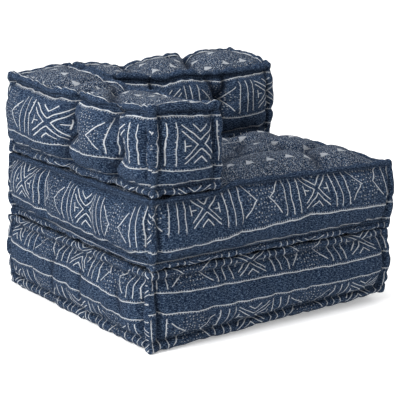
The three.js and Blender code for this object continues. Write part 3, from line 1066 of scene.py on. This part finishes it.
SEAT = SHARED | {
    "name": "seat_pad", "slot": "seat_cloth", "held": [beside_seat_top],
    "seed": 23, "cell": 0.0106, "fill": 0.75, "top_swell": 0.45,
    "size": (WIDTH, DEPTH, SEAT_HEIGHT - SEAM_HEIGHT - GAP),
    "centre": (0, 0, (SEAT_HEIGHT + SEAM_HEIGHT) / 2),
    "rolls": (PRESSED_ROLL, SEAT_ROLL),
    "crown": seat_crown, "lift": seat_lift,
    "bow": lambda axis, side, shaped: 0.012,
    "tufts": [
        tuft((0.200, 0.055, 0.428), (0, 0, -0.026), (0.048, 0.042, 0.060)),
        tuft((0.010, 0.040, 0.440), (0, 0, -0.013), (0.190, 0.026, 0.060)),
        tuft((0.330, 0.040, 0.440), (0, 0, -0.013), (0.110, 0.026, 0.060)),
        tuft((LEFT - 0.014, 0.150, 0.330), (0.010, 0, 0), (0.060, 0.026, 0.070)),
        tuft((LEFT - 0.014, -0.100, 0.330), (0.009, 0, 0), (0.060, 0.026, 0.070)),
        *hidden_tufts(0.316),
    ],
    "settled": [
        tuft((*SEAT_PIT, 0.440), (0, 0, -0.022), (0.048, 0.048, 0.060)),
        tuft((*SEAT_DIMPLE, 0.440), (0, 0, -0.018), (0.045, 0.045, 0.060)),
        *seam_corners(-0.007),
    ],
    "creases": [
        crease(
            TOP_SIDE, [(-0.150, -0.300), (-0.080, -0.215), (0.020, -0.150), (0.120, -0.150), SEAT_PIT],
            0.028, 0.030,
        ),
        crease(TOP_SIDE, [SEAT_PIT, (0.205, -0.270), (0.180, -0.350)], 0.024, 0.024, (1, 1, 0.9, 0.5)),
        crease(TOP_SIDE, [SEAT_PIT, (0.300, -0.160), (0.375, -0.170)], 0.022, 0.026, (1, 1, 0.9, 0.6)),
        crease(
            TOP_SIDE, [SEAT_PIT, (0.215, -0.090), SEAT_FORK, (0.200, 0.055)], 0.020, 0.022, (1, 0.8, 0.8, 1),
        ),
        crease(TOP_SIDE, [(0.070, -0.150), SEAT_DIMPLE], 0.016, 0.020, (0.8, 1, 1, 1)),
        crease(
            TOP_SIDE,
            [(-0.150, 0.020), (0.000, -0.030), SEAT_DIMPLE, SEAT_FORK, (0.280, 0.002), (0.385, 0.030)],
            0.018, 0.022,
        ),
    ],
    "marks": {FRONT_RIM: [-0.050, 0.165, 0.335], RIGHT_RIM: [-0.205, 0.050]},
    "rims": {
        LEFT_SIDE: [(0.0, SEAT_HEIGHT)],
        RIGHT_SIDE: [
            (-0.390, 0.420), (-0.316, 0.415), (-0.247, 0.418), (-0.130, 0.417), (-0.037, 0.421),
            (0.100, 0.417), (0.160, SEAT_HEIGHT),
        ],
        FRONT_SIDE: [
            (-0.215, SEAT_HEIGHT), (-0.165, 0.428), (-0.136, 0.431), (0.082, 0.427), (0.226, 0.425),
            (0.342, 0.423), (0.410, 0.420),
        ],
        REAR_SIDE: [(0.0, SEAT_HEIGHT)],
    },
    "pressed": {
        LEFT_RIM: [(-FAR, FAR)], FRONT_RIM: [(-FAR, ARM_INNER)],
        RIGHT_RIM: [(BACK_FRONT, FAR)], REAR_RIM: [(-FAR, FAR)],
    },
    "walls": [(2, -1, SEAM_HEIGHT + CLEAR), (2, 1, seat_top)],
    "print": {
        LEFT_SIDE: side_print(
            -0.0815, 1.136, (-0.390, -0.270, -0.090, 0.134, 0.314), SEAT_ROW,
            (0.240, 0.276, 0.340), (0.228, 0.252, 0.323), (0.234, 0.264, 0.327), (0.243, 0.278, 0.342),
            (0.256, 0.293, 0.352), plain_above=SEAT_STITCHES,
        ),
        RIGHT_SIDE: side_print(0.020, 1.02, (0.0,), SEAT_ROW, HIDDEN_SEAT, plain_above=SEAT_STITCHES),
        FRONT_SIDE: side_print(
            -0.249, 1.044, (-0.400, -0.255, -0.090, 0.080, 0.220, 0.370), SEAT_ROW,
            (0.242, 0.270, 0.370), (0.243, 0.2775, 0.373), (0.247, 0.292, 0.362, 0.038),
            (0.249, 0.306, 0.366, 0.041), (0.250, 0.3025, 0.366, 0.041), (0.2545, 0.2965, 0.367, 0.042),
            plain_above=SEAT_STITCHES,
        ),
        REAR_SIDE: side_print(-0.050, 1.0, (0.0,), SEAT_ROW, HIDDEN_SEAT, plain_above=SEAT_STITCHES),
    },
}

ARM = SHARED | {
    "name": "arm_pad", "slot": "arm_cloth", "held": [arm_at_back],
    "seed": 37, "cell": 0.0064, "fill": 0.85, "top_swell": 0.5,
    "size": (ARM_THICKNESS - GAP / 2, DEPTH, TOP_HEIGHT - SEAT_HEIGHT - GAP / 2),
    "centre": (ARM_MIDDLE - GAP / 4, 0, (TOP_HEIGHT + SEAT_HEIGHT + GAP / 2) / 2),
    "rolls": (PRESSED_ROLL, TOP_ROLL),
    "crown": arm_crown, "bow": arm_bow,
    "tufts": [
        *side_tufts(LEFT_SIDE, LEFT - 0.020, 0.036, (0.070, 0.055, 0.045), (-0.246, 0.522), (-0.014, 0.532)),
        *side_tufts(LEFT_SIDE, LEFT - 0.016, 0.026, (0.070, 0.048, 0.052), (-0.208, 0.600), (0.008, 0.600)),
        *side_tufts(LEFT_SIDE, LEFT - 0.016, 0.024, (0.070, 0.048, 0.042), (-0.195, 0.450), (0.048, 0.450)),
        tuft((*ARM_PIT, 0.670), (0, 0, -0.030), (0.050, 0.042, 0.060)),
        tuft((ARM_MIDDLE, 0.135, 0.670), (0, 0, -0.020), (0.052, 0.034, 0.060)),
        tuft((-0.350, -0.120, 0.684), (0, 0, -0.010), (0.060, 0.040, 0.060)),
        tuft((ARM_MIDDLE - 0.020, 0.130, 0.684), (0, 0, -0.012), (0.120, 0.024, 0.060)),
    ],
    "settled": [
        tuft((-0.330, 0.075, 0.675), (0, 0, 0.008), (0.090, 0.030, 0.060)),
    ],
    "creases": [
        crease(LEFT_SIDE, ARM_FOLDS[0], 0.026, 0.012, (0.6, 1, 1, 0.7)),
        crease(LEFT_SIDE, ARM_FOLDS[1], 0.026, 0.012, (0.6, 1, 1, 0.7)),
        crease(
            TOP_SIDE, [ARM_PIT, (-0.300, -0.050), (-0.335, -0.095), (-0.370, -0.155), (-0.388, -0.206)],
            0.022, 0.017, (1, 1, 0.9, 0.8),
        ),
        crease(TOP_SIDE, [ARM_PIT, (-0.242, 0.060), (-0.235, 0.120)], 0.018, 0.014, (1, 1, 0.7, 0.5)),
        crease(TOP_SIDE, [ARM_PIT, (-0.225, 0.022), (-0.208, 0.060)], 0.018, 0.013, (1, 1, 0.8, 0.7)),
        crease(TOP_SIDE, [ARM_PIT, (-0.230, -0.060), (-0.212, -0.110)], 0.016, 0.014, (1, 1, 0.7, 0.5)),
        crease(
            TOP_SIDE, [(-0.388, 0.004), (-0.350, 0.030), (-0.310, 0.020), ARM_PIT],
            0.016, 0.015, (0.8, 1, 1, 1),
        ),
        crease(
            TOP_SIDE, [(-0.390, 0.165), (-0.340, 0.140), (-0.300, 0.138), (-0.215, 0.160)], 0.020, 0.015,
        ),
    ],
    "marks": {LEFT_RIM: [-0.330, -0.206, -0.165, 0.004, 0.080, 0.245], FRONT_RIM: [0.067]},
    "rims": {
        LEFT_SIDE: [
            (-0.390, 0.652), (-0.312, 0.649), (-0.214, 0.637), (-0.160, 0.643), (-0.034, 0.647),
            (0.044, 0.642), (0.149, 0.641), (0.271, 0.650), (0.361, 0.655),
        ],
        RIGHT_SIDE: [
            (-0.390, 0.645), (-0.263, 0.636), (-0.190, 0.634), (-0.115, 0.643), (0.024, 0.641),
            (0.116, 0.650), (0.375, 0.664),
        ],
        FRONT_SIDE: [(-0.400, 0.653), (-0.352, 0.654), (-0.291, 0.652), (-0.235, 0.646), (-0.200, 0.646)],
        REAR_SIDE: [(-0.400, 0.652), (-0.345, 0.656), (-0.249, 0.668), (-0.200, 0.668)],
    },
    "walls": [(2, -1, SEAT_HEIGHT + CLEAR), (0, 1, arm_side)],
    "top_along": 1,
    "print": {
        LEFT_SIDE: side_print(
            0.125, 1.0, (-0.390, -0.263, -0.233, -0.205, -0.098, -0.016, 0.058, 0.146, 0.268), TALL,
            (0.446, 0.487, 0.549, 0.625), (0.442, 0.488, 0.548, 0.626), (0.441, 0.489, 0.548, 0.618),
            (0.440, 0.489, 0.547, 0.623), (0.437, 0.490, 0.546, 0.627), (0.437, 0.486, 0.548, 0.622),
            (0.437, 0.483, 0.549, 0.629), (0.442, 0.485, 0.552, 0.630), (0.454, 0.495, 0.557, 0.630),
            shifts=(
                (-0.393, -0.070), (-0.303, -0.060), (-0.247, -0.056), (-0.202, -0.044), (-0.114, -0.028),
                (-0.010, -0.014), (0.055, 0.010), (0.139, 0.038), (0.166, 0.045), (0.190, 0.048),
                (0.238, 0.045), (0.390, 0.040),
            ),
            folds=((ARM_FOLDS[0], 0.050), (ARM_FOLDS[1], 0.070)),
        ),
        RIGHT_SIDE: side_print(-0.100, 1.0, (0.0,), TALL, HIDDEN_TALL),
        FRONT_SIDE: side_print(
            -0.278, 0.97, (-0.370, -0.240), TALL,
            (0.446, 0.483, 0.5445, 0.626), (0.444, 0.478, 0.5445, 0.6205),
        ),
        REAR_SIDE: side_print(-0.310, 1.0, (0.0,), TALL, HIDDEN_TALL),
    },
}

BACK = SHARED | {
    "name": "back_pad", "slot": "back_cloth", "free_faces": [*SIDES[1:], TOP_SIDE],
    "seed": 53, "cell": 0.0060, "fill": 0.85, "top_swell": 0.5,
    "size": (BACK_LENGTH, BACK_THICKNESS, TOP_HEIGHT - SEAT_HEIGHT - GAP / 2),
    "centre": (RIGHT - BACK_LENGTH / 2, BACK_MIDDLE, (TOP_HEIGHT + SEAT_HEIGHT + GAP / 2) / 2),
    "rolls": (PRESSED_ROLL, TOP_ROLL),
    "crown": back_crown,
    "bow": lambda axis, side, shaped: np.where((axis == 0) & (side < 0), 0.0, 0.011),
    "tufts": [
        tuft((0.199, BACK_FRONT - 0.014, 0.545), (0, 0.032, 0), (0.040, 0.070, 0.036)),
        tuft((-0.060, BACK_FRONT - 0.014, 0.545), (0, 0.026, 0), (0.040, 0.070, 0.036)),
        tuft((0.170, BACK_MIDDLE, 0.684), (0, 0, -0.022), (0.042, 0.052, 0.060)),
        tuft((-0.060, BACK_MIDDLE, 0.684), (0, 0, -0.022), (0.042, 0.052, 0.060)),
        *side_tufts(REAR_SIDE, REAR + 0.016, 0.024, (0.036, 0.070, 0.060), (0.199, 0.530), (-0.060, 0.530)),
    ],
    "settled": [
        tuft((0.060, BACK_MIDDLE, 0.675), (0, 0, 0.006), (0.050, 0.060, 0.060)),
        tuft((0.310, BACK_MIDDLE, 0.675), (0, 0, 0.006), (0.070, 0.060, 0.060)),
    ],
    "creases": [
        crease(
            TOP_SIDE, [(0.215, 0.372), (0.190, 0.325), (0.158, 0.255), (0.138, 0.195)],
            0.024, 0.012, (1, 1, 1, 0.8),
        ),
        crease(
            TOP_SIDE, [(-0.020, 0.372), (-0.040, 0.300), (-0.055, 0.240), (-0.045, 0.195)],
            0.018, 0.012, (1, 1, 0.8, 0.7),
        ),
        crease(
            FRONT_SIDE, [(0.160, 0.628), (0.174, 0.585), (0.197, 0.548), (0.202, 0.500), (0.206, 0.440)],
            0.020, 0.013, (0.8, 1, 1, 0.6),
        ),
        crease(
            FRONT_SIDE, [(0.224, 0.628), (0.214, 0.585), (0.199, 0.550)], 0.017, 0.011, (0.8, 1, 1, 0.6),
        ),
        crease(
            FRONT_SIDE, [(-0.045, 0.628), (-0.055, 0.560), (-0.060, 0.440)],
            0.020, 0.013, (0.8, 1, 1, 0.6),
        ),
    ],
    "marks": {FRONT_RIM: [-0.151, 0.031, 0.076, 0.114, 0.232], REAR_RIM: [0.101, -0.056, -0.118]},
    "rims": {
        FRONT_SIDE: [
            (-0.190, 0.655), (-0.148, 0.655), (-0.043, 0.643), (-0.008, 0.636), (0.065, 0.648),
            (0.101, 0.647), (0.139, 0.638), (0.184, 0.637), (0.272, 0.639), (0.370, 0.643),
            (0.400, 0.645),
        ],
        REAR_SIDE: [
            (-0.190, 0.668), (-0.109, 0.662), (-0.028, 0.651), (0.016, 0.653), (0.057, 0.662),
            (0.128, 0.670), (0.186, 0.671), (0.209, 0.661), (0.244, 0.669), (0.323, 0.677),
            (0.400, 0.671),
        ],
        RIGHT_SIDE: [
            (0.168, 0.646), (0.186, 0.655), (0.217, 0.662), (0.254, 0.666), (0.297, 0.669),
            (0.375, 0.672),
        ],
    },
    "walls": [
        (2, -1, SEAT_HEIGHT + CLEAR), (0, -1, ARM_INNER + TO_MIDDLE[0] + GAP),
        (1, -1, lambda at: BACK_FRONT + TO_MIDDLE[1] - bulge(at)),
    ],
    "top_shift": (0.020, 0.070),
    "print": {
        LEFT_SIDE: side_print(0.250, 1.0, (0.0,), TALL, HIDDEN_TALL),
        RIGHT_SIDE: side_print(BACK_MIDDLE, 1.0, (0.0,), TALL, (0.450, 0.494, 0.556, 0.625, FAR_CREST)),
        FRONT_SIDE: side_print(
            0.372, 1.0, (-0.030, 0.157, 0.206, 0.257, 0.386), TALL_PLAIN,
            (0.439, 0.486, 0.550, 0.625), (0.439, 0.486, 0.550, 0.625), (0.439, 0.487, 0.548, 0.615),
            (0.439, 0.486, 0.552, 0.626), (0.454, 0.497, 0.560, 0.628),
        ),
        REAR_SIDE: side_print(0.100, 1.0, (0.0,), TALL, HIDDEN_TALL),
    },
}


def keep_clear(spec, at):
    """Stops the cloth at the floor, at the seams between pads and where one pad leans on another"""
    for axis, side, wall in spec["walls"]:
        limit = wall(at) if callable(wall) else wall
        at[:, axis] = side * np.minimum(side * at[:, axis], side * limit)
    return at


def blow_up(pad, at, stitched):
    """The cover with its free cloth pressed out by the filling, less on the top"""
    spec = pad.spec
    free = np.zeros(len(at), dtype=bool)
    for axis, side in spec["free_faces"]:
        free |= pad.panel(axis, side)
    for held in spec["held"]:
        free &= ~held(at)
    for far in from_deep_pits(spec, at):
        free &= far > PIT_HOLD
    share = np.where(pad.on_face(*TOP_SIDE), spec["top_swell"], 1.0)
    return at + (swell(pad, free & ~stitched) - at) * share[:, None]


def make_pad(spec, materials):
    pad = Pad(spec)
    at, stitched = add_creases(pad, pad.filled_shape())
    pad.move_to(at)
    at = blow_up(pad, at, stitched)
    at = add_gathers(pad, at)
    pad.move_to(at)
    bumps = sum(height * smooth_noise(at, size, spec["seed"] + more) for height, size, more in BUMPS)
    pad.move_to(keep_clear(spec, at + pad.normals() * bumps[:, None]))
    lay_cloth(pad)
    piece = bpy.data.objects.new(spec["name"] + "_cover", pad.mesh)
    bpy.context.scene.collection.objects.link(piece)
    for material in materials:
        pad.mesh.materials.append(material)
    finer = piece.modifiers.new("Finer cloth", "SUBSURF")
    finer.levels = finer.render_levels = 1
    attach(piece, "root")
    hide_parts(spec["name"])


# The photograph's camera: its place, turn and focal length in pixels, and the lamps' places, aims and powers
CAMERA_PLACE, CAMERA_YAW, CAMERA_PITCH = (-2.1128, -3.0285, 1.1431), 0.61305, -0.22882
FOCAL_PIXELS, PHOTO_WIDTH, SENSOR_WIDTH = 1283.517, 400, 36
LAMP_SIZE = 2.0
LAMPS = (
    ("left_window", (-3.6, -0.6, 2.4), (0, 0, 0.35), 180),
    ("overhead", (-0.4, 0.2, 3.4), (0, 0, 0.4), 68),
)


def make_camera():
    data = bpy.data.cameras.new("photo_view")
    camera = bpy.data.objects.new("photo_view", data)
    bpy.context.scene.collection.objects.link(camera)
    data.sensor_width = SENSOR_WIDTH
    data.lens = FOCAL_PIXELS * SENSOR_WIDTH / PHOTO_WIDTH
    data.clip_end = 50
    level = math.cos(CAMERA_PITCH)
    ahead = Vector((math.sin(CAMERA_YAW) * level, math.cos(CAMERA_YAW) * level, math.sin(CAMERA_PITCH)))
    camera.location = CAMERA_PLACE
    camera.rotation_mode = "QUATERNION"
    camera.rotation_quaternion = ahead.to_track_quat("-Z", "Y")
    bpy.context.scene.camera = camera


def soft_light(name, place, target, power):
    data = bpy.data.lights.new(name, "AREA")
    data.shape = "DISK"
    data.size = LAMP_SIZE
    data.energy = power
    lamp = bpy.data.objects.new(name, data)
    bpy.context.scene.collection.objects.link(lamp)
    lamp.location = place
    lamp.rotation_mode = "QUATERNION"
    lamp.rotation_quaternion = (Vector(target) - Vector(place)).to_track_quat("-Z", "Y")


def make_floor():
    bm = bmesh.new()
    bmesh.ops.create_grid(bm, x_segments=1, y_segments=1, size=12)
    mesh = bpy.data.meshes.new("studio_floor")
    bm.to_mesh(mesh)
    bm.free()
    floor = bpy.data.objects.new("studio_floor", mesh)
    bpy.context.scene.collection.objects.link(floor)
    paint = bpy.data.materials.new("pale_floor")
    paint.use_nodes = True
    shader = next(n for n in paint.node_tree.nodes if n.type == "BSDF_PRINCIPLED")
    shader.inputs["Base Color"].default_value = (0.90, 0.90, 0.90, 1)
    shader.inputs["Roughness"].default_value = 0.8
    shader.inputs["Emission Color"].default_value = (1, 1, 1, 1)
    shader.inputs["Emission Strength"].default_value = 0.30
    mesh.materials.append(paint)


def make_studio():
    make_floor()
    world = bpy.data.worlds.new("studio")
    world.use_nodes = True
    sky = next(n for n in world.node_tree.nodes if n.type == "BACKGROUND")
    sky.inputs["Color"].default_value = (1, 1, 1, 1)
    sky.inputs["Strength"].default_value = 1.0
    bpy.context.scene.world = world
    for lamp in LAMPS:
        soft_light(*lamp)
    bpy.context.scene.view_settings.view_transform = "Standard"

make_camera()
make_studio()
cloths = (printed_cloth(), speckled_cloth())
for spec in (BASE, SEAT, ARM, BACK):
    make_pad(spec, cloths)
